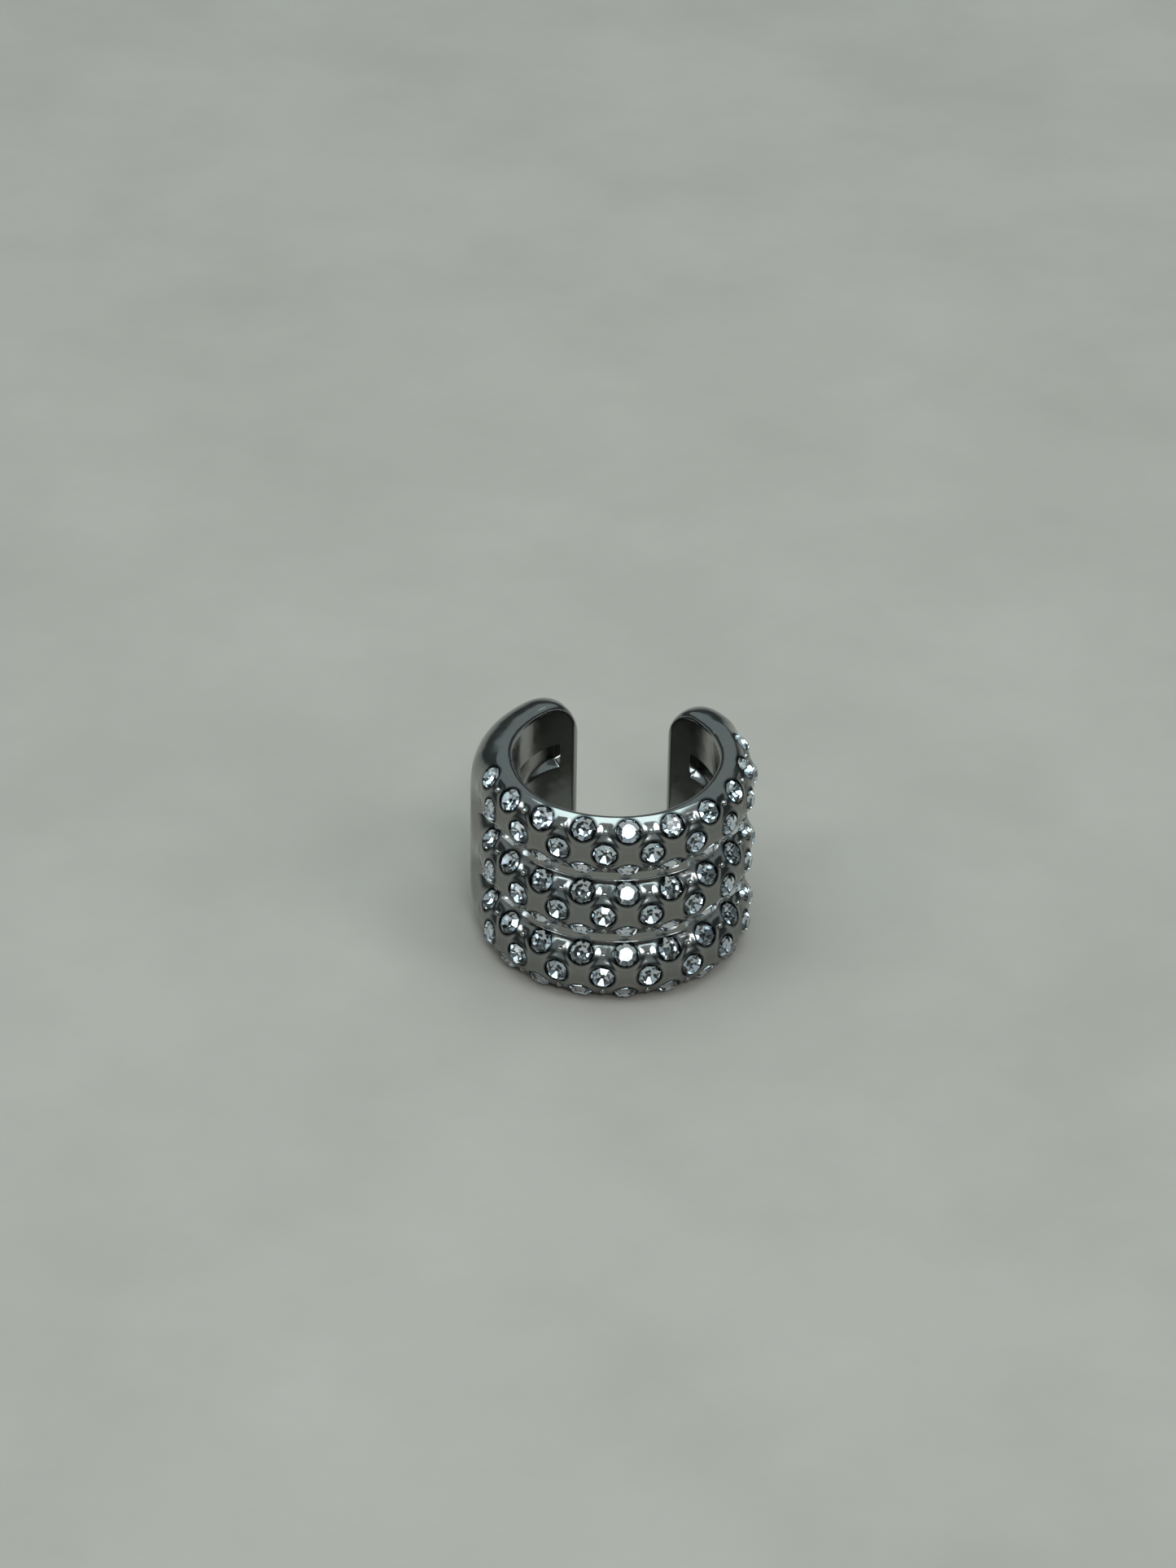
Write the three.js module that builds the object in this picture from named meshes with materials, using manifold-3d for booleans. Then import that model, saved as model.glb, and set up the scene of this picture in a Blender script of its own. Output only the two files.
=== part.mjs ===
// Ear cuff: a wide open ring of three half-round bands cast in one piece, each band set with
// three staggered rows of round stones. It stands on its lower edge, with the gap towards +Y.
import * as THREE from "three";
import { mergeVertices } from "three/addons/utils/BufferGeometryUtils.js";
import Module from "manifold-3d";

const wasm = await Module();
wasm.setup();

// Driving dimensions in millimetres
const innerRadius = 5.25; // smooth wall that lies against the ear, at the front
const endInset = 0.47; // by which the wall comes in towards the ends
const insetFrom = 10; // degrees from the front where it starts to come in
const insetTo = 80;
const grooveWall = 0.35; // metal left under the grooves at the front
const grooveDepth = 0.9; // from the crest of a band down to the groove
const grooveWidth = 0.46; // flat floor between two bands
const bandPitch = 3.46; // from the middle of one band to the next
const rimFillet = 0.35; // inner edge of the rims
const rimFlat = 0.04; // top of the rims at the smooth ends
const endSwell = 0.3; // by which the smooth ends stand out past the bands
const gapWidth = 4.44; // between the two round ends
const endRound = 0.7; // rounding of the wall at each end
const endRun = 2.6; // stretch in which an end narrows to its tip
const tipHeight = 2.8; // straight part of the tip's edge
const cornerPower = 2.5; // how square the corners of the tips are
const fadeRun = 1.5; // stretch past the stones in which the grooves run out
const crownPower = 8; // how square the smooth ends are in section

const stoneDiameter = 1.12;
const stoneSpacing = 2.23; // along the crest of a band
const crownHeight = 0.22; // table above the girdle
const tableShare = 0.56; // of the stone's diameter
const girdleHeight = 0.04;
const pavilionDepth = 0.22;
const stoneSink = 0.09; // floor of the seat below the metal
const seatGap = 0.02; // open ring between a stone and its seat
const edgeLip = 0.04; // metal left beyond the seats of the outer rows
const fieldStart = -3.5; // first stone of the outer rows, in spacings from the front
const fieldEnd = 5.5; // last stone of the outer rows
const fieldMargin = 0.85; // metal past the middle of the last stone
const settingThickness = 0.38;
const settingInset = 0.02; // setting's edge inside the band's edge
const fitGap = 0.04; // between a setting and its channel

const pocketHeight = 1.3; // recess in the inner wall near each end
const pocketLevel = 2.05; // its middle above the middle of the cuff
const pocketDepth = 0.45; // at its deep side, next to the tip
const pocketTipDistance = { left: 1.45, right: 2.05 }; // from the tip to the deep side
const pocketLength = 3.0; // in which it runs out to nothing

// Sizes that follow from them
const grooveRadius = innerRadius + grooveWall;
const crestRadius = grooveRadius + grooveDepth;
const swellRadius = crestRadius + endSwell;
const endWallRadius = innerRadius - endInset;
const midRadius = (endWallRadius + swellRadius) / 2;
const bandHalfHeight = (bandPitch - grooveWidth) / 2;
const bandRadius = (bandHalfHeight ** 2 + grooveDepth ** 2) / (2 * grooveDepth);
const bandCentre = crestRadius - bandRadius;
const bandEdgeAngle = Math.atan2(bandHalfHeight, bandRadius - grooveDepth);
const halfHeight = bandPitch + bandHalfHeight;
const tipAngle = Math.PI - Math.asin((gapWidth / 2 + endRound) / midRadius) + endRound / midRadius;
const stoneStep = stoneSpacing / crestRadius;
const seatRadius = stoneDiameter / 2 + seatGap;
const settingHalfAngle = bandEdgeAngle - settingInset / bandRadius;
const seatHalfAngle = Math.atan(seatRadius / (bandRadius - stoneSink));
const rowTilt = settingHalfAngle - seatHalfAngle - edgeLip / bandRadius;
const fieldFrom = fieldStart * stoneStep - fieldMargin / crestRadius;
const fieldTo = fieldEnd * stoneStep + fieldMargin / crestRadius;
const bandLevels = [bandPitch, 0, -bandPitch];

const tipShare = 0.15; // of the wall, left flat at the very tip
const filletLimit = 0.62; // of the wall under the grooves, most that the rim's edge takes
const cutClearance = 0.15; // by which a cutting shape stands out of the metal
const arcSegments = 8; // along a band's section
const floorSegments = 3; // along the inner side of a setting
const filletSegments = 3;
const stationsPerStone = 2;
const endStations = 8;
const pocketStations = 5;
const stoneSides = 8;

// A place at a given angle round the ear, from the front towards +X
function placeOnRing(angle, radius, height) {
  return new THREE.Vector3(radius * Math.sin(angle), -radius * Math.cos(angle), height);
}

// Points of a section, x away from the axis and y up, along an arc from one angle to another
function arcPoints(centreX, centreY, radius, from, to, segments) {
  const arc = new THREE.EllipseCurve(centreX, centreY, radius, radius, from, to, to < from);
  return arc.getPoints(segments);
}

// Closed skin through one section at each station, with flat caps at the two ends
function sweepRing(stations, sectionAt) {
  const rings = stations.map((angle) =>
    sectionAt(angle).map((point) => placeOnRing(angle, point.x, point.y)),
  );
  const count = rings[0].length;
  const index = [];
  for (let station = 0; station + 1 < rings.length; station += 1) {
    for (let side = 0; side < count; side += 1) {
      const next = (side + 1) % count;
      const a = station * count + side;
      const b = station * count + next;
      index.push(a, a + count, b + count, a, b + count, b);
    }
  }
  const lastRing = (rings.length - 1) * count;
  const cap = THREE.ShapeUtils.triangulateShape(sectionAt(stations[0]), []);
  for (const [a, b, c] of cap) {
    index.push(a, b, c);
  }
  const lastCap = THREE.ShapeUtils.triangulateShape(sectionAt(stations.at(-1)), []);
  for (const [a, b, c] of lastCap) {
    index.push(lastRing + a, lastRing + c, lastRing + b);
  }
  const geometry = new THREE.BufferGeometry().setFromPoints(rings.flat());
  geometry.setIndex(index);
  return geometry;
}

// Solids for cutting and joining, and back to three.js geometry
function toSolid(source) {
  const geometry = source.clone();
  geometry.deleteAttribute("normal");
  geometry.deleteAttribute("uv");
  const merged = mergeVertices(geometry, 1e-5);
  const solid = new wasm.Manifold(
    new wasm.Mesh({
      numProp: 3,
      vertProperties: Float32Array.from(merged.attributes.position.array),
      triVerts: Uint32Array.from(merged.index.array),
    }),
  );
  if (solid.status() !== "NoError") {
    throw new Error(`open solid: ${solid.status()}`);
  }
  return solid;
}

function toGeometry(solid) {
  const mesh = solid.getMesh();
  const geometry = new THREE.BufferGeometry();
  geometry.setAttribute("position", new THREE.BufferAttribute(mesh.vertProperties, 3));
  geometry.setIndex(new THREE.BufferAttribute(mesh.triVerts, 1));
  const flat = geometry.toNonIndexed();
  flat.computeVertexNormals();
  return flat;
}

// Section of the whole cuff as shares of the half height: the outer side with the radius of each
// point where the bands stand out, and then the rounded edges of the inner wall with how far each
// point stands back from the wall
function makeSectionTable() {
  const outer = [...bandLevels].reverse().flatMap((level) =>
    arcPoints(bandCentre, level, bandRadius, -bandEdgeAngle, bandEdgeAngle, arcSegments),
  );
  const outerRows = outer.map((point) => {
    return { share: point.y / halfHeight, banded: point.x };
  });
  const upperRows = arcPoints(0, 0, 1, Math.PI / 2, Math.PI, filletSegments).map((point) => ({
    share: 1 - (rimFillet / halfHeight) * (1 - point.y),
    back: 1 + point.x,
  }));
  const lowerRows = upperRows.map(({ share, back }) => ({ share: -share, back })).reverse();
  return { outerRows, innerRows: [...upperRows, ...lowerRows] };
}

const sectionTable = makeSectionTable();

// The inner wall comes in from the front towards the thicker ends
function wallRadius(angle) {
  const turn = THREE.MathUtils.radToDeg(Math.abs(angle));
  return innerRadius - endInset * THREE.MathUtils.smoothstep(turn, insetFrom, insetTo);
}

// Bands stand out where the stones are, and fade into the smooth ends past them
function bandingAt(angle) {
  const past = Math.max(fieldFrom - angle, angle - fieldTo) * crestRadius;
  return 1 - THREE.MathUtils.smoothstep(past, 0, fadeRun);
}

// Towards a tip the height falls along a quarter of an oval, the wall rounds off and the outer
// side turns from full to a plain oval
function cuffSection(angle) {
  const distance = (tipAngle - Math.abs(angle)) * midRadius;
  const rise = quarterOval(distance / endRun, 0, cornerPower);
  const height = THREE.MathUtils.lerp(tipHeight / 2, halfHeight, rise);
  const thickness = quarterOval(distance / endRound, tipShare, 2);
  const power = THREE.MathUtils.mapLinear(thickness, tipShare, 1, 2, crownPower);
  const banding = bandingAt(angle);
  const wall = wallRadius(angle);
  const filletWidth = Math.min(rimFillet, (grooveRadius - wall) * filletLimit);
  const ridge = wall + filletWidth + rimFlat;
  const place = (radius, share) =>
    new THREE.Vector2(midRadius + (radius - midRadius) * thickness, share * height);
  const outer = sectionTable.outerRows.map(({ share, banded }) => {
    const fullness = Math.sqrt(Math.max(0, 1 - Math.abs(share) ** power));
    const smooth = THREE.MathUtils.lerp(ridge, swellRadius, fullness);
    return place(THREE.MathUtils.lerp(smooth, banded, banding), share);
  });
  const inner = sectionTable.innerRows.map(({ share, back }) =>
    place(wall + back * filletWidth, share),
  );
  return [...outer, ...inner];
}

// From a start share up to 1 along a quarter of an oval, an ellipse where its power is 2
function quarterOval(share, start, power) {
  const rest = 1 - THREE.MathUtils.clamp(share, 0, 1);
  return (1 - rest ** power * (1 - start ** power)) ** (1 / power);
}

// Stations of the whole cuff, close together at the ends and half a spacing apart between
function cuffStations() {
  const ends = [];
  for (let step = 0; step < endStations; step += 1) {
    const run = endRun * (1 - Math.cos(((step / endStations) * Math.PI) / 2));
    ends.push(tipAngle - run / midRadius);
  }
  const spacing = stoneStep / stationsPerStone;
  const reach = Math.floor((ends.at(-1) - spacing / 2) / spacing);
  const middle = [];
  for (let step = -reach; step <= reach; step += 1) {
    middle.push(step * spacing);
  }
  return [...ends.map((angle) => -angle), ...middle, ...ends.reverse()];
}

// Stations of a field of stones, grown at both ends by a clearance
function fieldStations(clearance) {
  const growth = clearance / crestRadius;
  const spacing = stoneStep / stationsPerStone;
  const middle = [];
  for (let step = fieldStart * stationsPerStone; step <= fieldEnd * stationsPerStone; step += 1) {
    middle.push(step * spacing);
  }
  return [fieldFrom - growth, ...middle, fieldTo + growth];
}

// Band of metal that follows a band's surface, as a closed section between two arcs
function settingSection(level, outerRadius, innerArcRadius, halfAngle) {
  const outer = arcPoints(bandCentre, level, outerRadius, -halfAngle, halfAngle, arcSegments);
  const inner = arcPoints(bandCentre, level, innerArcRadius, halfAngle, -halfAngle, floorSegments);
  return [...outer, ...inner];
}

// Channel in the cuff that takes a setting, open to the outside
function makeChannel(level) {
  const floorRadius = bandRadius - settingThickness - fitGap;
  const turn = fitGap / (bandRadius - settingThickness);
  const section = settingSection(
    level,
    bandRadius + cutClearance,
    floorRadius,
    settingHalfAngle + turn,
  );
  return toSolid(sweepRing(fieldStations(fitGap), () => section));
}

// Recess in the inner wall that starts deep near one tip and runs out along the wall
function makePocket(side) {
  const tipDistance = side > 0 ? pocketTipDistance.right : pocketTipDistance.left;
  const start = tipAngle - tipDistance / midRadius;
  const end = start - pocketLength / endWallRadius;
  const angles = [];
  for (let step = 0; step <= pocketStations; step += 1) {
    angles.push(THREE.MathUtils.lerp(end, start, step / pocketStations));
  }
  const signed = side > 0 ? angles : angles.reverse().map((angle) => -angle);
  const low = pocketLevel - pocketHeight / 2;
  const high = pocketLevel + pocketHeight / 2;
  return toSolid(
    sweepRing(signed, (angle) => {
      const share = (Math.abs(angle) - end) / (start - end);
      const wall = wallRadius(angle);
      const floor = wall + THREE.MathUtils.lerp(-cutClearance / 2, pocketDepth, share);
      return [
        new THREE.Vector2(wall - cutClearance, low),
        new THREE.Vector2(floor, low),
        new THREE.Vector2(floor, high),
        new THREE.Vector2(wall - cutClearance, high),
      ];
    }),
  );
}

// Round shape turned from a profile and stood square on one place of a band's section
function standOnBand(profile, angle, level, tilt) {
  const shape = new THREE.LatheGeometry(profile, stoneSides);
  const outward = placeOnRing(angle, Math.cos(tilt), Math.sin(tilt));
  const place = placeOnRing(
    angle,
    bandCentre + bandRadius * Math.cos(tilt),
    level + bandRadius * Math.sin(tilt),
  );
  const turn = new THREE.Quaternion().setFromUnitVectors(new THREE.Vector3(0, 1, 0), outward);
  shape.applyMatrix4(new THREE.Matrix4().compose(place, turn, new THREE.Vector3(1, 1, 1)));
  return toSolid(shape);
}

// Cup that is cut into the setting round each stone
const seatProfile = [
  new THREE.Vector2(0, -stoneSink),
  new THREE.Vector2(seatRadius, -stoneSink),
  new THREE.Vector2(seatRadius, cutClearance),
  new THREE.Vector2(0, cutClearance),
];

// Half of a stone's outline: pavilion, girdle, crown and flat table
const girdleBottom = -stoneSink - girdleHeight / 2;
const girdleTop = -stoneSink + girdleHeight / 2;
const stoneProfile = [
  new THREE.Vector2(0, girdleBottom - pavilionDepth),
  new THREE.Vector2(stoneDiameter / 2, girdleBottom),
  new THREE.Vector2(stoneDiameter / 2, girdleTop),
  new THREE.Vector2((stoneDiameter / 2) * tableShare, girdleTop + crownHeight),
  new THREE.Vector2(0, girdleTop + crownHeight),
];

// Places of all stones of a band, the middle row half a spacing further on than the outer rows
function stonePlaces() {
  const places = [];
  for (let place = fieldStart; place <= fieldEnd; place += 1) {
    places.push({ angle: place * stoneStep, tilt: rowTilt });
    places.push({ angle: place * stoneStep, tilt: -rowTilt });
    if (place + 0.5 <= fieldEnd) {
      places.push({ angle: (place + 0.5) * stoneStep, tilt: 0 });
    }
  }
  return places;
}

// Setting of one band with its three rows of stones
function makeField(level) {
  const innerArcRadius = bandRadius - settingThickness;
  const section = settingSection(level, bandRadius, innerArcRadius, settingHalfAngle);
  let field = toSolid(sweepRing(fieldStations(0), () => section));
  for (const { angle, tilt } of stonePlaces()) {
    field = field.subtract(standOnBand(seatProfile, angle, level, tilt));
    field = field.add(standOnBand(stoneProfile, angle, level, tilt));
  }
  return field;
}

function makeBody() {
  let body = toSolid(sweepRing(cuffStations(), cuffSection));
  for (const level of bandLevels) {
    body = body.subtract(makeChannel(level));
  }
  for (const side of [-1, 1]) {
    body = body.subtract(makePocket(side));
  }
  return body;
}

function addPiece(group, name, solid, look) {
  const mesh = new THREE.Mesh(toGeometry(solid), new THREE.MeshStandardMaterial(look));
  mesh.name = name;
  mesh.position.z = halfHeight;
  group.add(mesh);
}

// Dark plated metal, and clear stones in the same metal
const metalLook = { color: 0x6f7a7c, roughness: 0.16, metalness: 1 };
const stoneLook = { color: 0xb9c6c9, roughness: 0.08, metalness: 0.4, flatShading: true };

const cuff = new THREE.Group();
addPiece(cuff, "cuff_body", makeBody(), metalLook);
const fieldNames = ["top_band_stones", "middle_band_stones", "bottom_band_stones"];
for (const [place, name] of fieldNames.entries()) {
  addPiece(cuff, name, makeField(bandLevels[place]), stoneLook);
}

export default cuff;
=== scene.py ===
import math

import bpy
import numpy as np
from mathutils import Matrix, Vector


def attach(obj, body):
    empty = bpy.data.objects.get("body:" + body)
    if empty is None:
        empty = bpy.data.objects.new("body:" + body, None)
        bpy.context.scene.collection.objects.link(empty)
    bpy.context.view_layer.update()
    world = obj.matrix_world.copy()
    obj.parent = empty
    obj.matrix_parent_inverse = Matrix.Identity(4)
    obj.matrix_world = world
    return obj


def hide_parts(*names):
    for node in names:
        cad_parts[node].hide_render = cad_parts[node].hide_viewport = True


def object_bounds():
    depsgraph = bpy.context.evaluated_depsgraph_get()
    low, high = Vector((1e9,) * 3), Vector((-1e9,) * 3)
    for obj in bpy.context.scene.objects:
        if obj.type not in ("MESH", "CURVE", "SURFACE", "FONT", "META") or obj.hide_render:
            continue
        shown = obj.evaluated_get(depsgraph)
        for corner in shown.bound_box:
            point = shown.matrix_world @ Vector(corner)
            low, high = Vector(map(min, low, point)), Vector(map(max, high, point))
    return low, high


# Ear cuff cast in one open ring of three half-round bands, set all over with round crystals.
# It stands on its lower rim with the gap towards +Y. Shapes are worked out in millimetres.
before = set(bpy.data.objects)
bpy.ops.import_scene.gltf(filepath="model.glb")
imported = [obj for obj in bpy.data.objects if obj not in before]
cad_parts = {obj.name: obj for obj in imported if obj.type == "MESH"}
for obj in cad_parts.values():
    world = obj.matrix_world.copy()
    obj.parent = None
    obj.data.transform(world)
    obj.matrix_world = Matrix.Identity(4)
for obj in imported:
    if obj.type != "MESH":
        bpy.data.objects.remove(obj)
cadLow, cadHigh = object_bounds()
print("frame loaded:", sorted(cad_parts))

mm = 0.001
halfHeight = (cadHigh.z - cadLow.z) / 2 / mm

# Form of the whole cuff, in millimetres and degrees: walls and bands, rims, ends and their tips,
# and the seam on which the settings stand
cuffForm = {
    "innerRadius": 5.25,
    "endInset": 0.47,
    "insetFrom": 10,
    "insetTo": 80,
    "grooveRadius": 5.60,
    "crestRadius": 6.50,
    "bandPitch": 3.46,
    "grooveWidth": 0.46,
    "grooveFillet": 0.10,
    "rimRound": 0.15,
    "rimFillet": 0.35,
    "rimFlat": 0.04,
    "endSwell": 0.30,
    "gapWidth": 4.44,
    "endRound": 0.7,
    "endRun": 2.6,
    "tipHeight": 2.8,
    "tipShare": 0.15,
    "cornerPower": 2.5,
    "fadeRun": 1.5,
    "crownPower": 8,
    "seamRadius": 5.55,
    "seamGap": 0.004,
    "seamMargin": 0.01,
}

# Crystals: places counted in spacings from the front, the cut in millimetres with the table
# as a share of the girdle, and the turn from one stone to the next in radians
crystalForm = {
    "diameter": 1.12,
    "spacing": 2.23,
    "firstPlace": -3.5,
    "lastPlace": 5.5,
    "margin": 0.85,
    "sink": 0.09,
    "girdle": 0.04,
    "crown": 0.20,
    "table": 0.60,
    "pavilion": 0.28,
    "facets": 8,
    "seatGap": 0.02,
    "rowLip": 0.06,
    "turnStep": 2.4,
}

endWall = cuffForm["innerRadius"] - cuffForm["endInset"]
midRadius = (endWall + cuffForm["crestRadius"] + cuffForm["endSwell"]) / 2
bandHalf = (cuffForm["bandPitch"] - cuffForm["grooveWidth"]) / 2
grooveDepth = cuffForm["crestRadius"] - cuffForm["grooveRadius"]
bandRadius = (bandHalf**2 + grooveDepth**2) / (2 * grooveDepth)
bandCentre = cuffForm["crestRadius"] - bandRadius
bandEdge = math.atan2(bandHalf, bandRadius - grooveDepth)
tipAngle = (
    math.pi
    - math.asin((cuffForm["gapWidth"] / 2 + cuffForm["endRound"]) / midRadius)
    + cuffForm["endRound"] / midRadius
)
placeAngle = crystalForm["spacing"] / cuffForm["crestRadius"]
seatRadius = crystalForm["diameter"] / 2 + crystalForm["seatGap"]
seatAngle = math.atan(seatRadius / (bandRadius - crystalForm["sink"]))
rowTilt = bandEdge - seatAngle - crystalForm["rowLip"] / bandRadius
fieldMargin = crystalForm["margin"] / cuffForm["crestRadius"]
fieldFrom = crystalForm["firstPlace"] * placeAngle - fieldMargin
fieldTo = crystalForm["lastPlace"] * placeAngle + fieldMargin
bandLevels = {
    "top_band": cuffForm["bandPitch"],
    "middle_band": 0.0,
    "bottom_band": -cuffForm["bandPitch"],
}


def onRing(angle, radius, height):
    # x = radius sin(angle), y = -radius cos(angle): angle 0 is the front, turning towards +X
    return np.stack([radius * np.sin(angle), -radius * np.cos(angle), height + 0 * angle], axis=-1)


def smoothStep(value, low, high):
    # Rises from 0 to 1 as 3t^2 - 2t^3 between low and high
    t = np.clip((value - low) / (high - low), 0, 1)
    return t * t * (3 - 2 * t)


def quarterRound(share, start, power=2):
    # Quarter of an oval that begins at start and levels out at 1: (1 - rest^power)^(1/power)
    rest = 1 - np.clip(share, 0, 1)
    return (1 - rest**power * (1 - start**power)) ** (1 / power)


def spaced(low, high, step):
    # Even values from low to high, no further apart than step
    return np.linspace(low, high, max(2, math.ceil(abs(high - low) / step) + 1))


# Points of the round corner at a rim and of the fillet at a groove
cornerPoints, groovePoints = 9, 7


def halfBand(atRim, step):
    # Half of a band's outline from its crest, as (height from the crest, radius): an arc of the
    # band's radius, then a hollow fillet and half the groove floor, or a round corner and the rim
    if atRim:
        corner = cuffForm["rimRound"]
        rise = bandHalf - corner
        reach = math.sqrt((bandRadius - corner) ** 2 - rise**2)
        edge = math.atan2(rise, reach)
        turn = np.linspace(edge, math.pi / 2, cornerPoints)[1:]
        away, out = rise + corner * np.sin(turn), reach + corner * np.cos(turn)
        last = np.array([[bandHalf, cuffForm["seamRadius"]]])
    else:
        corner = cuffForm["grooveFillet"]
        reach = cuffForm["grooveRadius"] + corner - bandCentre
        rise = math.sqrt((bandRadius + corner) ** 2 - reach**2)
        edge = math.atan2(rise, reach)
        turn = np.linspace(edge, 0, groovePoints)[1:]
        away, out = rise - corner * np.sin(turn), reach - corner * np.cos(turn)
        last = np.array([[cuffForm["bandPitch"] / 2, cuffForm["grooveRadius"]]])
    bend = np.stack([away, bandCentre + out], 1)
    swing = spaced(0, edge, step / bandRadius)
    arc = np.stack([bandRadius * np.sin(swing), bandCentre + bandRadius * np.cos(swing)], 1)
    return np.concatenate([arc, bend, last])


def bandOutline(level, step):
    # Whole outline of one band from its low side to its high side, as (height, radius)
    low = halfBand(level < 0, step)[:0:-1] * (-1, 1)
    high = halfBand(level > 0, step)
    return np.concatenate([low, high]) + (level, 0)


def bandingAt(angle):
    # 1 where the crystals stand, falling to 0 in a short stretch past each end of their field
    past = np.maximum(fieldFrom - angle, angle - fieldTo) * cuffForm["crestRadius"]
    return 1 - smoothStep(past, 0, cuffForm["fadeRun"])


def innerAt(angle):
    # Radius of the inner wall: it comes in from the front towards the thicker ends
    turn = np.degrees(np.abs(angle))
    return cuffForm["innerRadius"] - cuffForm["endInset"] * smoothStep(
        turn, cuffForm["insetFrom"], cuffForm["insetTo"])


def wallShare(angle):
    # Share of the wall's thickness that is left towards a tip, along a quarter of an ellipse
    distance = (tipAngle - np.abs(angle)) * midRadius
    return quarterRound(distance / cuffForm["endRound"], cuffForm["tipShare"])


def cuffRadius(angle, height, banded):
    # Radius of the outer side: the banded outline, which changes past the field of crystals to a
    # smooth one, ridge + swell (1 - share^power)^(1/2), whose power falls to 2 at a tip
    ridge = innerAt(angle) + cuffForm["rimFillet"] + cuffForm["rimFlat"]
    swell = cuffForm["crestRadius"] + cuffForm["endSwell"] - ridge
    share = np.clip(np.abs(height) / halfHeight, 0, 1)
    full = (wallShare(angle) - cuffForm["tipShare"]) / (1 - cuffForm["tipShare"])
    smooth = ridge + swell * np.sqrt(1 - share ** (2 + (cuffForm["crownPower"] - 2) * full))
    return smooth + (banded - smooth) * bandingAt(angle)


def gridFaces(rows, columns, closeColumns=False):
    # Four corners of each cell of a grid whose points are numbered row by row
    row = np.arange(rows - 1)[:, None]
    column = np.arange(columns if closeColumns else columns - 1)[None, :]
    following = (column + 1) % columns
    a = row * columns + column
    b = row * columns + following
    return np.stack([a, b, b + columns, a + columns], axis=-1).reshape(-1, 4)


def endCaps(rows, columns):
    # The two faces that close a grid swept along its rows
    return [list(range(columns)), list(range(rows * columns - 1, (rows - 1) * columns - 1, -1))]


def makePiece(name, points, quads, others=(), sharp=40, marks=None, slots=None):
    # Mesh of four-cornered faces and a few others, in metres, standing on the floor. Edges that
    # turn by more than the sharp angle stay crisp.
    mesh = bpy.data.meshes.new(name)
    placed = (points + (0, 0, halfHeight)) * mm
    mesh.from_pydata(placed.tolist(), [], quads.tolist() + [list(face) for face in others])
    # marks is stored as the recess attribute: how much painted shade darkens the plating at each point
    if marks is not None:
        attribute = mesh.attributes.new("recess", "FLOAT", "POINT")
        attribute.data.foreach_set("value", marks.astype(np.float32))
    if slots is not None:
        mesh.polygons.foreach_set("material_index", slots.astype(np.int32))
    mesh.polygons.foreach_set("use_smooth", np.ones(len(mesh.polygons), dtype=bool))
    mesh.set_sharp_from_angle(angle=math.radians(sharp))
    mesh.validate()
    piece = bpy.data.objects.new(name, mesh)
    bpy.context.scene.collection.objects.link(piece)
    print(f"{name}: {len(mesh.vertices)} points, {len(mesh.polygons)} faces")
    return piece


# Materials


def newMaterial(name):
    material = bpy.data.materials.new(name)
    material.use_nodes = True
    nodes = material.node_tree.nodes
    return material, nodes, material.node_tree.links, nodes["Principled BSDF"]


def addNoise(nodes, links, vector, scale, detail, roughness=0.5):
    noise = nodes.new("ShaderNodeTexNoise")
    noise.inputs["Scale"].default_value = scale
    noise.inputs["Detail"].default_value = detail
    noise.inputs["Roughness"].default_value = roughness
    links.new(vector, noise.inputs["Vector"])
    return noise.outputs["Fac"]


def addRange(nodes, links, value, low, high, fromLow=0.3, fromHigh=0.7):
    span = nodes.new("ShaderNodeMapRange")
    span.inputs["From Min"].default_value = fromLow
    span.inputs["From Max"].default_value = fromHigh
    span.inputs["To Min"].default_value = low
    span.inputs["To Max"].default_value = high
    links.new(value, span.inputs["Value"])
    return span.outputs["Result"]


def addMix(nodes, links, factor, first, second):
    mix = nodes.new("ShaderNodeMix")
    mix.data_type = "RGBA"
    links.new(factor, mix.inputs["Factor"])
    for socket, colour in ((mix.inputs["A"], first), (mix.inputs["B"], second)):
        if isinstance(colour, tuple):
            socket.default_value = (*colour, 1)
        else:
            links.new(colour, socket)
    return mix.outputs["Result"]


def addBump(nodes, links, value, height, before=None):
    bump = nodes.new("ShaderNodeBump")
    bump.inputs["Strength"].default_value = 1
    bump.inputs["Distance"].default_value = height
    links.new(value, bump.inputs["Height"])
    if before is not None:
        links.new(before, bump.inputs["Normal"])
    return bump.outputs["Normal"]


def addStretch(nodes, links, vector, scale):
    mapping = nodes.new("ShaderNodeMapping")
    mapping.inputs["Scale"].default_value = scale
    links.new(vector, mapping.inputs["Vector"])
    return mapping.outputs["Vector"]


# Scales of the patterns are per metre, and their heights are in metres
platingLook = {
    "colour": (0.32, 0.33, 0.325),
    "warm": (0.345, 0.335, 0.315),
    # near-black colour of the painted shade round the crystals and in the hollows
    "paintedShade": (0.03, 0.038, 0.04),
    "roughness": (0.10, 0.19),
    "cloudScale": 420,
    "smearScale": 1300,
    "waveScale": 700,
    "waveHeight": 0.00003,
    "rubScale": (9000, 9000, 60000),
    "rubHeight": 0.000002,
}


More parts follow.
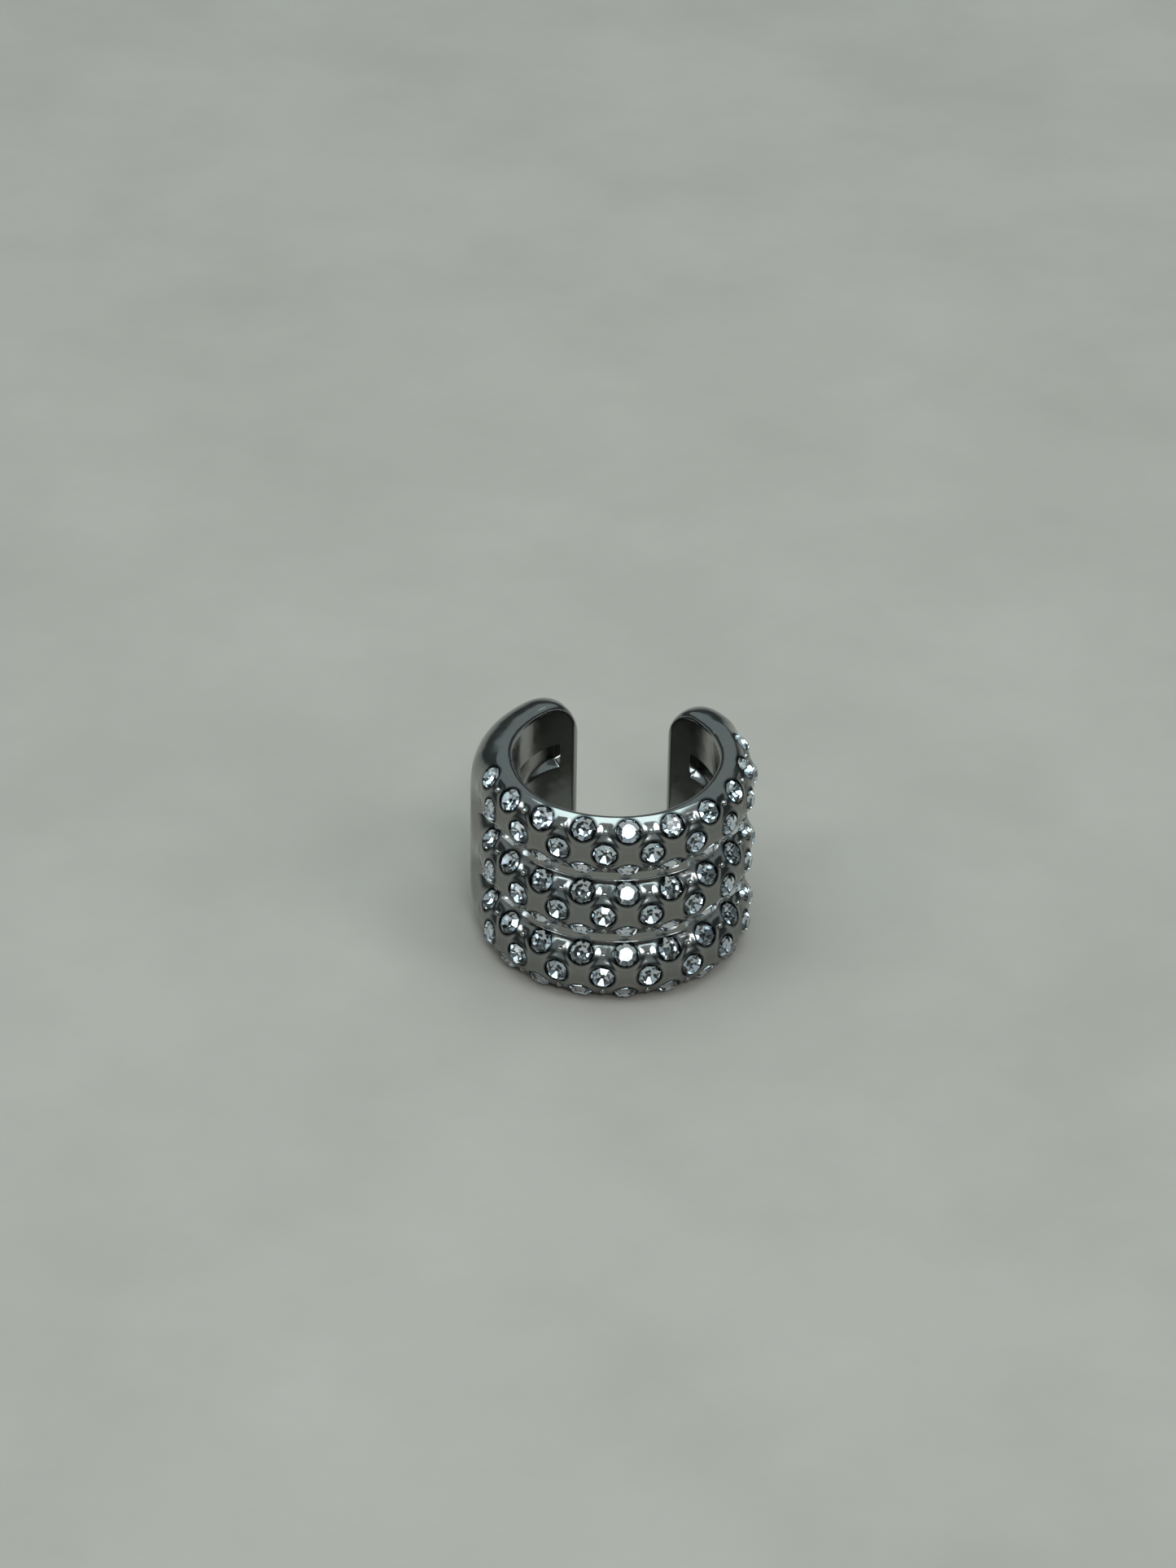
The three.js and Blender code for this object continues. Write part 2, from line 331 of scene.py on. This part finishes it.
def makePlating(name):
    # Dark plated metal: cloudy tint and gloss, painted shade that turns it near black round the crystals
    # and in the hollows, soft waves left by casting and polishing, and fine rubbing marks
    material, nodes, links, shader = newMaterial(name)
    place = nodes.new("ShaderNodeTexCoord").outputs["Object"]
    recess = nodes.new("ShaderNodeAttribute")
    recess.attribute_name = "recess"
    cloud = addNoise(nodes, links, place, platingLook["cloudScale"], detail=4)
    share = addRange(nodes, links, cloud, 0, 1)
    tint = addMix(nodes, links, share, platingLook["colour"], platingLook["warm"])
    # painted shade: the recess attribute mixes a near-black colour into the plating round the crystals
    # and in the hollows
    tint = addMix(nodes, links, recess.outputs["Fac"], tint, platingLook["paintedShade"])
    links.new(tint, shader.inputs["Base Color"])
    smear = addNoise(nodes, links, place, platingLook["smearScale"], detail=5, roughness=0.6)
    gloss = addRange(nodes, links, smear, *platingLook["roughness"])
    links.new(gloss, shader.inputs["Roughness"])
    shader.inputs["Metallic"].default_value = 1
    wave = addNoise(nodes, links, place, platingLook["waveScale"], detail=2)
    waves = addBump(nodes, links, wave, platingLook["waveHeight"])
    rubPlace = addStretch(nodes, links, place, platingLook["rubScale"])
    rub = addNoise(nodes, links, rubPlace, scale=1, detail=3)
    marks = addBump(nodes, links, rub, platingLook["rubHeight"], waves)
    links.new(marks, shader.inputs["Normal"])
    return material


# Clear glass, its silver backing, and how uneven the gloss of both is
crystalLook = {
    "glass": (0.97, 0.98, 1.0),
    "ior": 1.58,
    "foil": (0.84, 0.91, 0.92),
    "foilTint": (0.79, 0.82, 0.88),
    "foilScale": 1500,
    "foilRoughness": (0.04, 0.12),
    "wearScale": 2500,
    "wearRoughness": (0.0, 0.03),
}


def makeGlass(name):
    # Clear cut glass with the faintest wear
    material, nodes, links, shader = newMaterial(name)
    place = nodes.new("ShaderNodeTexCoord").outputs["Object"]
    shader.inputs["Base Color"].default_value = (*crystalLook["glass"], 1)
    shader.inputs["IOR"].default_value = crystalLook["ior"]
    shader.inputs["Transmission Weight"].default_value = 1
    wear = addNoise(nodes, links, place, crystalLook["wearScale"], detail=3)
    gloss = addRange(nodes, links, wear, *crystalLook["wearRoughness"])
    links.new(gloss, shader.inputs["Roughness"])
    return material


def makeFoil(name):
    # Silver backing of a crystal, a little uneven
    material, nodes, links, shader = newMaterial(name)
    place = nodes.new("ShaderNodeTexCoord").outputs["Object"]
    cloud = addNoise(nodes, links, place, crystalLook["foilScale"], detail=3)
    share = addRange(nodes, links, cloud, 0, 1)
    tint = addMix(nodes, links, share, crystalLook["foil"], crystalLook["foilTint"])
    links.new(tint, shader.inputs["Base Color"])
    gloss = addRange(nodes, links, cloud, *crystalLook["foilRoughness"])
    links.new(gloss, shader.inputs["Roughness"])
    shader.inputs["Metallic"].default_value = 1
    return material


plating = makePlating("dark plating")
glass = makeGlass("clear cut glass")
foil = makeFoil("silver backing")
print("materials made")


# Body


# Recess in the inner wall near each end, with the left end as -1 and the right one as 1
pocketForm = {
    "level": 2.05,
    "height": 1.3,
    "depth": 0.45,
    "tipDistance": {-1: 1.45, 1: 2.05},
    "length": 3.0,
    "edge": 0.07,
    "ramp": 0.40,
}

# Points of the body's mesh: steps in millimetres along the outline and in degrees round the ear,
# stations at each tip and at each end of a recess, and points of each fillet and stretch of wall
bodyGrid = {
    "step": 0.07,
    "turn": 1,
    "fieldTurn": 2,
    "tipStations": 40,
    "pocketStations": 15,
    "filletPoints": 16,
    "wallPoints": (8, 13, 9, 17, 18),
}


def pocketDepth(angle, height):
    # Depth grows evenly towards the tip inside a soft-edged frame, which has a long slope at its
    # lower side, and is nothing outside it
    tipDistance = pocketForm["tipDistance"]
    start = tipAngle - np.where(angle < 0, tipDistance[-1], tipDistance[1]) / midRadius
    run = pocketForm["length"] / endWall
    edge = pocketForm["edge"]
    side = np.abs(angle)
    share = np.clip((side - start + run) / run, 0, 1)
    top = pocketForm["level"] + pocketForm["height"] / 2
    low = top - pocketForm["height"]
    frameUp = 1 - smoothStep(height, top - edge / 2, top + edge / 2)
    frameUp = frameUp * smoothStep(height, low - edge, low - edge + pocketForm["ramp"])
    turn = edge / 2 / endWall
    frameSide = 1 - smoothStep(side, start - turn, start + turn)
    return pocketForm["depth"] * share * frameUp * frameSide


def bodyStations():
    # Close together at the tips, by 1 - cos t, and round the recess, in pairs at the two ends of
    # the setting
    step = math.radians(bodyGrid["turn"])
    edge = pocketForm["edge"] / endWall
    closer = 1 - np.cos(np.linspace(0, math.pi / 2, bodyGrid["tipStations"]))
    tip = tipAngle - cuffForm["endRun"] / midRadius * closer
    sides = {}
    for side, fieldEdge in ((-1, -fieldFrom), (1, fieldTo)):
        plain = np.concatenate([tip, np.arange(tip.min() - step, fieldEdge + step / 2, -step)])
        middle = tipAngle - pocketForm["tipDistance"][side] / midRadius
        plain = plain[np.abs(plain - middle) > edge]
        pocket = np.linspace(middle - edge, middle + edge, bodyGrid["pocketStations"])
        sides[side] = side * np.concatenate([plain, pocket])
    left, right = sides[-1], sides[1]
    field = spaced(fieldFrom, fieldTo, math.radians(bodyGrid["fieldTurn"]))
    stations = np.concatenate([np.sort(left), [fieldFrom], field, [fieldTo], np.sort(right)])
    inField = np.zeros(len(stations), dtype=bool)
    inField[len(left) + 1 : len(left) + 1 + len(field)] = True
    return stations, inField


def wallLevels():
    # Heights of the inner wall from the upper fillet down, close together at the recess's edges
    edge = pocketForm["edge"]
    wallTop = halfHeight - cuffForm["rimFillet"]
    high = pocketForm["level"] + pocketForm["height"] / 2
    low = high - pocketForm["height"]
    slopeTop = low - edge + pocketForm["ramp"]
    levels = [wallTop, high + edge, high - edge, slopeTop, low - edge, -wallTop]
    stretches = zip(levels, levels[1:], bodyGrid["wallPoints"])
    return np.concatenate([np.linspace(*stretch)[1:] for stretch in stretches])[:-1]


def makeBody():
    # Section carried round the ear: outer side, round rims and inner wall. Towards a tip the
    # height falls along a quarter of an oval and the wall thins along a quarter of an ellipse.
    stations, inField = bodyStations()
    outer = [bandOutline(level, bodyGrid["step"]) for level in sorted(bandLevels.values())]
    outer = np.concatenate([outer[0], outer[1][1:], outer[2][1:]])
    top = halfHeight - cuffForm["rimFillet"]
    wallHeights = wallLevels()
    angle = stations[:, None]
    fillet = cuffForm["rimFillet"]
    inner = innerAt(angle)
    width = np.minimum(fillet, cuffForm["seamRadius"] - cuffForm["seamMargin"] - inner)
    turn = np.linspace(math.pi / 2, math.pi, bodyGrid["filletPoints"])[None, :]
    arcHeight = top + fillet * np.sin(turn) + 0 * angle
    arcRadius = inner + width * (1 + np.cos(turn))
    outerHeight = outer[None, :, 0] + 0 * angle
    outerRadius = cuffRadius(angle, outerHeight, outer[None, :, 1])
    seat = cuffForm["seamRadius"] - cuffForm["seamGap"]
    outerRadius = np.where(inField[:, None], seat, outerRadius)
    wallHeight = wallHeights[None, :] + 0 * angle
    wallRadius = inner + pocketDepth(angle, wallHeight)
    innerHeight = np.concatenate([arcHeight, wallHeight, -arcHeight[:, ::-1]], 1)
    innerRadius = np.concatenate([arcRadius, wallRadius, arcRadius[:, ::-1]], 1)
    height = np.concatenate([outerHeight, innerHeight], 1)
    radius = np.concatenate([outerRadius, innerRadius], 1)
    distance = (tipAngle - np.abs(angle)) * midRadius
    rise = quarterRound(distance / cuffForm["endRun"], 0, cuffForm["cornerPower"])
    tall = cuffForm["tipHeight"] / 2 + (halfHeight - cuffForm["tipHeight"] / 2) * rise
    thick = wallShare(angle)
    points = onRing(angle, midRadius + (radius - midRadius) * thick, height / halfHeight * tall)
    rows, columns = height.shape
    quads = gridFaces(rows, columns, closeColumns=True)[:, ::-1]
    marks = np.zeros(rows * columns)
    body = makePiece("cuff_shell", points.reshape(-1, 3), quads, endCaps(rows, columns), marks=marks)
    body.data.materials.append(plating)
    return body


# Crystals


def crystalPlaces(level):
    # Two outer rows and a middle row half a place further on, as angle and tilt of each crystal
    outer = np.arange(crystalForm["firstPlace"], crystalForm["lastPlace"] + 0.5)
    middle = outer[:-1] + 0.5
    angle = np.concatenate([outer, outer, middle]) * placeAngle
    tilt = np.concatenate([outer * 0 + rowTilt, outer * 0 - rowTilt, middle * 0])
    return angle, tilt, level


def bandFrames(angle, tilt, level):
    # Place on the band's surface, with the direction out of it, along the band and up its section
    centre = onRing(angle, bandCentre + bandRadius * np.cos(tilt), level + bandRadius * np.sin(tilt))
    out = onRing(angle, np.cos(tilt), np.sin(tilt))
    along = onRing(angle + math.pi / 2, np.ones_like(tilt), 0 * tilt)
    return centre, out, along, np.cross(out, along)


def cutCrystal():
    # One stone along +Z as points (across, across, out) and flat faces: table, a ring of crown
    # facets, girdle and a ring of pavilion facets to a point
    form = crystalForm
    facets = form["facets"]
    girdleRadius = form["diameter"] / 2
    topLevel = -form["sink"] + form["girdle"] / 2
    lowLevel = topLevel - form["girdle"]
    n = np.arange(facets)
    turn = n * 2 * math.pi / facets

    def ring(radius, level):
        return np.stack([radius * np.cos(turn), radius * np.sin(turn), level + 0 * turn], 1)

    points = np.concatenate([
        ring(girdleRadius * form["table"], topLevel + form["crown"]),
        ring(girdleRadius, topLevel),
        ring(girdleRadius, lowLevel),
        np.array([[0, 0, lowLevel - form["pavilion"]]]),
    ])
    following = (n + 1) % facets
    topRing, lowRing, tip = facets, 2 * facets, 3 * facets
    crown = [n.tolist()]
    crown += np.stack([n, topRing + n, topRing + following, following], 1).tolist()
    back = np.stack([topRing + n, lowRing + n, lowRing + following, topRing + following], 1).tolist()
    back += np.stack([lowRing + n, tip + 0 * n, lowRing + following], 1).tolist()
    return points, crown, back


def makeCrystals(name, level):
    # The same cut stood at each place, each turned a little differently about its own axis
    points, crown, back = cutCrystal()
    centre, out, along, up = bandFrames(*crystalPlaces(level))
    turn = np.arange(len(centre)) * crystalForm["turnStep"]
    first = np.cos(turn)[:, None] * along + np.sin(turn)[:, None] * up
    second = np.cross(out, first)
    axes = np.stack([first, second, out], axis=1)
    placed = centre[:, None, :] + np.einsum("pk,skc->spc", points, axes)
    faces = []
    slots = []
    for number in range(len(centre)):
        shift = number * len(points)
        faces += [[corner + shift for corner in face] for face in crown + back]
        slots += [0] * len(crown) + [1] * len(back)
    piece = makePiece(name, placed.reshape(-1, 3), np.zeros((0, 4), int), faces, slots=np.array(slots))
    piece.data.polygons.foreach_set("use_smooth", np.zeros(len(faces), dtype=bool))
    piece.data.materials.append(glass)
    piece.data.materials.append(foil)
    return piece


# Settings


# Metal round the crystals: lengths in millimetres, levelFrom and levelTo in degrees up a band's section,
# the strength of the painted shade in the hollows as a share; far stands for any crystal that is out of
# reach
settingForm = {
    "reach": 1.6,
    "far": 9.0,
    "gridStep": 0.042,
    "cupDepth": 0.34,
    "wallRun": 0.04,
    "collarHeight": 0.004,
    "collarOffset": 0.04,
    "collarWidth": 0.07,
    "saddleDepth": 0.045,
    "saddleStart": 0.05,
    "saddleRun": 0.36,
    "endFade": 0.5,
    "levelFrom": 44,
    "levelTo": 54,
    # painted shade: width of the dark ring round each seat, then strength and run of the darkening in
    # the hollows
    "paintedRingShadeWidth": 0.17,
    "paintedHollowShade": 0.28,
    "paintedHollowShadeRun": 0.3,
}

# Small round grains between neighbours of the outer rows: tilt in degrees and size, height over
# the metal, how round they are and how far their necks go down
grainForm = {
    "tilt": 38,
    "size": 0.15,
    "rise": 0.07,
    "roundness": 0.9,
    "neck": 0.25,
    "around": 18,
    "rings": 7,
}


def grainDomes(level):
    # Each grain is half an ellipsoid on a short neck, (sin t, cos t) turned about the way out of
    # the surface
    form = grainForm
    size = form["size"]
    gap = np.arange(crystalForm["firstPlace"], crystalForm["lastPlace"]) + 0.5
    turn = np.linspace(0, 2 * math.pi, form["around"], endpoint=False)
    swing = np.linspace(0, math.pi / 2, form["rings"])
    across = np.concatenate([size * np.sin(swing), [size * form["roundness"]]])[1:, None]
    drop = size * (1 - np.cos(swing)) * form["roundness"]
    rise = np.concatenate([form["rise"] - drop, [-form["neck"]]])[1:, None]
    rows, columns = len(rise), len(turn)
    ring = np.arange(columns)
    peak = rows * columns
    points = []
    quads = []
    caps = []
    for side in (-1, 1):
        tilt = gap * 0 + side * math.radians(form["tilt"])
        frames = bandFrames(gap * placeAngle, tilt, level)
        centre, out, along, up = (part[:, None, None, :] for part in frames)
        shape = (
            centre
            + (across * np.cos(turn))[None, :, :, None] * along
            + (across * np.sin(turn))[None, :, :, None] * up
            + (rise + 0 * turn)[None, :, :, None] * out
        )
        tops = centre + form["rise"] * out
        for dome, top in zip(shape, tops):
            count = len(quads) * (peak + 1)
            points += [dome.reshape(-1, 3), top[0]]
            quads.append(gridFaces(rows, columns, closeColumns=True)[:, ::-1] + count)
            caps += (np.stack([ring, (ring + 1) % columns, peak + 0 * ring], 1) + count).tolist()
            caps.append((peak - columns + ring[::-1] + count).tolist())
    return np.concatenate(points), np.concatenate(quads), caps


def reliefOf(points, normals, height, level):
    # Metal round the crystals. With d the distance from the nearest crystal's axis: a cup inside
    # the seat, a low collar exp(-((d - seat) / width)^2) at its edge, and a hollow beyond it that
    # dies out towards the edges of the band and the ends of the field.
    form = settingForm
    centre, out, _, _ = bandFrames(*crystalPlaces(level))
    away = points[:, None, :] - centre[None]
    rise = np.einsum("psc,sc->ps", away, out)
    radial = away - rise[..., None] * out[None]
    near = np.linalg.norm(away, axis=-1) < form["reach"]
    distance = np.where(near, np.linalg.norm(radial, axis=-1), form["far"])
    nearest = distance.argmin(1)
    pick = np.arange(len(points))
    d = distance[pick, nearest]
    unit = radial[pick, nearest] / np.maximum(d, 1e-6)[:, None]
    axis = out[nearest]
    # points within half a step of the seat's edge or the cup's floor are drawn on to it, which
    # keeps both round, and the cup is what then lies inside the seat's edge
    step = form["gridStep"]
    floorEdge = seatRadius - form["wallRun"]
    onLip = np.abs(d - seatRadius) < step / 2
    onFloor = np.abs(d - floorEdge) < step / 2
    target = np.where(onLip, seatRadius, np.where(onFloor & ~onLip, floorEdge, d))
    points = points + (target - d)[:, None] * unit
    d = target
    tilt = np.degrees(np.arcsin(np.clip((height - level) / bandRadius, -1, 1)))
    around = np.arctan2(points[:, 0], -points[:, 1])
    inside = np.minimum(around - fieldFrom, fieldTo - around) * cuffForm["crestRadius"]
    hollow = 1 - smoothStep(np.abs(tilt), form["levelFrom"], form["levelTo"])
    hollow = hollow * smoothStep(inside, 0, form["endFade"])
    past = d - seatRadius
    collar = form["collarHeight"] * np.exp(-(((past - form["collarOffset"]) / form["collarWidth"]) ** 2))
    saddle = -form["saddleDepth"] * smoothStep(past, form["saddleStart"], form["saddleRun"])
    raised = points + normals * (collar + saddle * hollow)[:, None]
    rise = np.einsum("pc,pc->p", raised - centre[nearest], axis)
    inCup = d < seatRadius
    raised = raised - axis * np.where(inCup, rise + form["cupDepth"], 0)[:, None]
    # painted shade: a dark ring just outside each seat and a fainter darkening across the hollows
    # between crystals, returned as the recess value
    dark = 1 - smoothStep(past, 0, form["paintedRingShadeWidth"])
    hollowShade = form["paintedHollowShade"] * hollow * smoothStep(past, 0, form["paintedHollowShadeRun"])
    recess = np.maximum(dark, hollowShade)
    return raised, recess


def makeSetting(name, level):
    # Outline of the band carried along the field of crystals, with its relief, closed by a plain
    # inner face on the seam and two end faces
    outline = bandOutline(level, settingForm["gridStep"])
    # half of the seam's gap stays free at each groove and at both ends
    gap = cuffForm["seamGap"] / 2
    outline[0, 0] += gap * (level >= 0)
    outline[-1, 0] -= gap * (level <= 0)
    step = settingForm["gridStep"] / cuffForm["crestRadius"]
    turnGap = gap / cuffForm["crestRadius"]
    stations = spaced(fieldFrom + turnGap, fieldTo - turnGap, step)
    angle = stations[:, None]
    height = outline[None, :, 0] + 0 * angle
    radius = cuffRadius(angle, height, outline[None, :, 1])
    base = onRing(angle, radius, height)
    normal = np.cross(np.gradient(base, axis=0), np.gradient(base, axis=1))
    normal /= np.linalg.norm(normal, axis=-1, keepdims=True)
    rows, columns = height.shape
    relief, recess = reliefOf(base.reshape(-1, 3), normal.reshape(-1, 3), height.ravel(), level)
    outer = relief.reshape(rows, columns, 3)
    back = onRing(angle, cuffForm["seamRadius"] + 0 * height[:, [-1, 0]], height[:, [-1, 0]])
    points = np.concatenate([outer, back], 1)
    marks = np.concatenate([recess.reshape(rows, columns), np.zeros((rows, 2))], 1)
    columns += 2
    points = points.reshape(-1, 3)
    quads = gridFaces(rows, columns, closeColumns=True)[:, ::-1]
    caps = endCaps(rows, columns)
    domes, domeQuads, domeCaps = grainDomes(level)
    caps += [[corner + len(points) for corner in face] for face in domeCaps]
    quads = np.concatenate([quads, domeQuads + len(points)])
    marks = np.concatenate([marks.ravel(), np.zeros(len(domes))])
    piece = makePiece(name, np.concatenate([points, domes]), quads, caps, sharp=50, marks=marks)
    piece.data.materials.append(plating)
    return piece


body = makeBody()
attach(body, "root")
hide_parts("cuff_body")

for bandName, bandLevel in bandLevels.items():
    setting = makeSetting(bandName + "_setting", bandLevel)
    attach(setting, "root")
    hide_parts(bandName + "_stones")
    crystals = makeCrystals(bandName + "_crystals", bandLevel)
    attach(crystals, "root")
    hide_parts(bandName + "_stones")
print("cuff made")


# Floor, surroundings and lights

# Side in metres, and two colours that drift into each other in soft clouds
floorLook = {
    "size": 1.2,
    "colour": (0.37, 0.328, 0.292),
    "cloud": (0.32, 0.283, 0.25),
    "cloudScale": 60,
    "roughness": 0.9,
}


def makeFloor():
    # Flat square under the cuff with a soft uneven nap
    half = floorLook["size"] / 2
    corners = np.array([[-half, -half, 0], [half, -half, 0], [half, half, 0], [-half, half, 0]])
    mesh = bpy.data.meshes.new("floor")
    mesh.from_pydata(corners.tolist(), [], [[0, 1, 2, 3]])
    floor = bpy.data.objects.new("floor", mesh)
    bpy.context.scene.collection.objects.link(floor)
    material, nodes, links, shader = newMaterial("pale floor")
    place = nodes.new("ShaderNodeTexCoord").outputs["Object"]
    cloud = addNoise(nodes, links, place, floorLook["cloudScale"], detail=6, roughness=0.6)
    share = addRange(nodes, links, cloud, 0, 1)
    tint = addMix(nodes, links, share, floorLook["colour"], floorLook["cloud"])
    links.new(tint, shader.inputs["Base Color"])
    shader.inputs["Roughness"].default_value = floorLook["roughness"]
    floor.data.materials.append(material)


# Colour of the surroundings at each height, (1 + sin of the angle above the horizon) / 2, and of
# the backdrop that the camera sees
roomLook = {
    "strength": 1.0,
    "backdrop": (0.55, 0.53, 0.50),
    "bands": [
        (0.00, (0.10, 0.09, 0.085)),
        (0.48, (0.20, 0.19, 0.18)),
        (0.505, (0.32, 0.35, 0.35)),
        (0.55, (0.27, 0.31, 0.32)),
        (0.575, (0.045, 0.055, 0.053)),
        (0.715, (0.06, 0.075, 0.074)),
        (0.74, (0.31, 0.37, 0.385)),
        (0.90, (0.29, 0.345, 0.36)),
        (1.00, (0.36, 0.40, 0.42)),
    ],
}


def makeRoom():
    # World colour by height above the horizon; the camera itself sees a plain pale backdrop
    world = bpy.data.worlds.new("soft room")
    bpy.context.scene.world = world
    world.use_nodes = True
    nodes, links = world.node_tree.nodes, world.node_tree.links
    way = nodes.new("ShaderNodeTexCoord").outputs["Generated"]
    split = nodes.new("ShaderNodeSeparateXYZ")
    links.new(way, split.inputs["Vector"])
    level = addRange(nodes, links, split.outputs["Z"], 0, 1, fromLow=-1, fromHigh=1)
    ramp = nodes.new("ShaderNodeValToRGB")
    bands = roomLook["bands"]
    while len(ramp.color_ramp.elements) < len(bands):
        ramp.color_ramp.elements.new(1)
    for element, (position, colour) in zip(ramp.color_ramp.elements, bands):
        element.position = position
        element.color = (*colour, 1)
    links.new(level, ramp.inputs["Fac"])
    seen = nodes.new("ShaderNodeLightPath").outputs["Is Camera Ray"]
    colour = addMix(nodes, links, seen, ramp.outputs["Color"], roomLook["backdrop"])
    background = nodes["Background"]
    links.new(colour, background.inputs["Color"])
    background.inputs["Strength"].default_value = roomLook["strength"]


# Soft boxes: direction from the front towards +X and height above the horizon in degrees,
# distance and size in metres, power in watts
softBoxes = {
    "overhead box": {
        "side": 4,
        "up": 88,
        "distance": 0.5,
        "size": (0.60, 0.50),
        "power": 2.3,
        "colour": (0.76, 0.97, 1.0),
    },
    "front box": {
        "side": 16.7,
        "up": 46,
        "distance": 0.6,
        "size": (0.14, 0.11),
        "power": 0.95,
        "colour": (0.88, 0.96, 1.0),
    },
    "right box": {
        "side": 66,
        "up": 44,
        "distance": 0.6,
        "size": (0.14, 0.18),
        "power": 0.5,
        "colour": (0.93, 0.97, 1.0),
    },
    "left box": {
        "side": -64,
        "up": 44,
        "distance": 0.6,
        "size": (0.16, 0.18),
        "power": 0.5,
        "colour": (0.92, 0.98, 1.0),
    },
}


def makeLights():
    for name, box in softBoxes.items():
        side, up = math.radians(box["side"]), math.radians(box["up"])
        way = Vector((math.sin(side) * math.cos(up), -math.cos(side) * math.cos(up), math.sin(up)))
        data = bpy.data.lights.new(name, "AREA")
        data.shape = "RECTANGLE"
        data.size, data.size_y = box["size"]
        data.energy = box["power"]
        data.color = box["colour"]
        light = bpy.data.objects.new(name, data)
        light.location = way * box["distance"] + Vector((0, 0, halfHeight * mm))
        light.rotation_euler = way.to_track_quat("Z", "Y").to_euler()
        bpy.context.scene.collection.objects.link(light)


# Camera, in millimetres and degrees: the point at half height that it looks at, the turn round
# the cuff and the height above the horizon, the distance, the roll, and the lens's length in
# heights of the picture
cameraPlace = {
    "aim": (-1.602, 4.447),
    "turn": 4.1,
    "up": 33.8,
    "distance": 227.6,
    "roll": 0.98,
    "lens": 5841 / 1927,
}


def makeCamera():
    turn, up = math.radians(cameraPlace["turn"]), math.radians(cameraPlace["up"])
    way = Vector((math.sin(turn) * math.cos(up), -math.cos(turn) * math.cos(up), math.sin(up)))
    aim = Vector((*cameraPlace["aim"], halfHeight)) * mm
    data = bpy.data.cameras.new("camera")
    data.sensor_fit = "VERTICAL"
    data.sensor_height = 36
    data.lens = cameraPlace["lens"] * data.sensor_height
    data.clip_start = 0.01
    camera = bpy.data.objects.new("camera", data)
    facing = way.to_track_quat("Z", "Y").to_matrix().to_4x4()
    roll = Matrix.Rotation(math.radians(cameraPlace["roll"]), 4, "Z")
    camera.matrix_world = Matrix.Translation(aim + way * cameraPlace["distance"] * mm) @ facing @ roll
    bpy.context.scene.collection.objects.link(camera)
    bpy.context.scene.camera = camera


makeFloor()
makeRoom()
makeLights()
makeCamera()
bpy.context.scene.view_settings.view_transform = "Standard"
print("floor, room, lights and camera made")
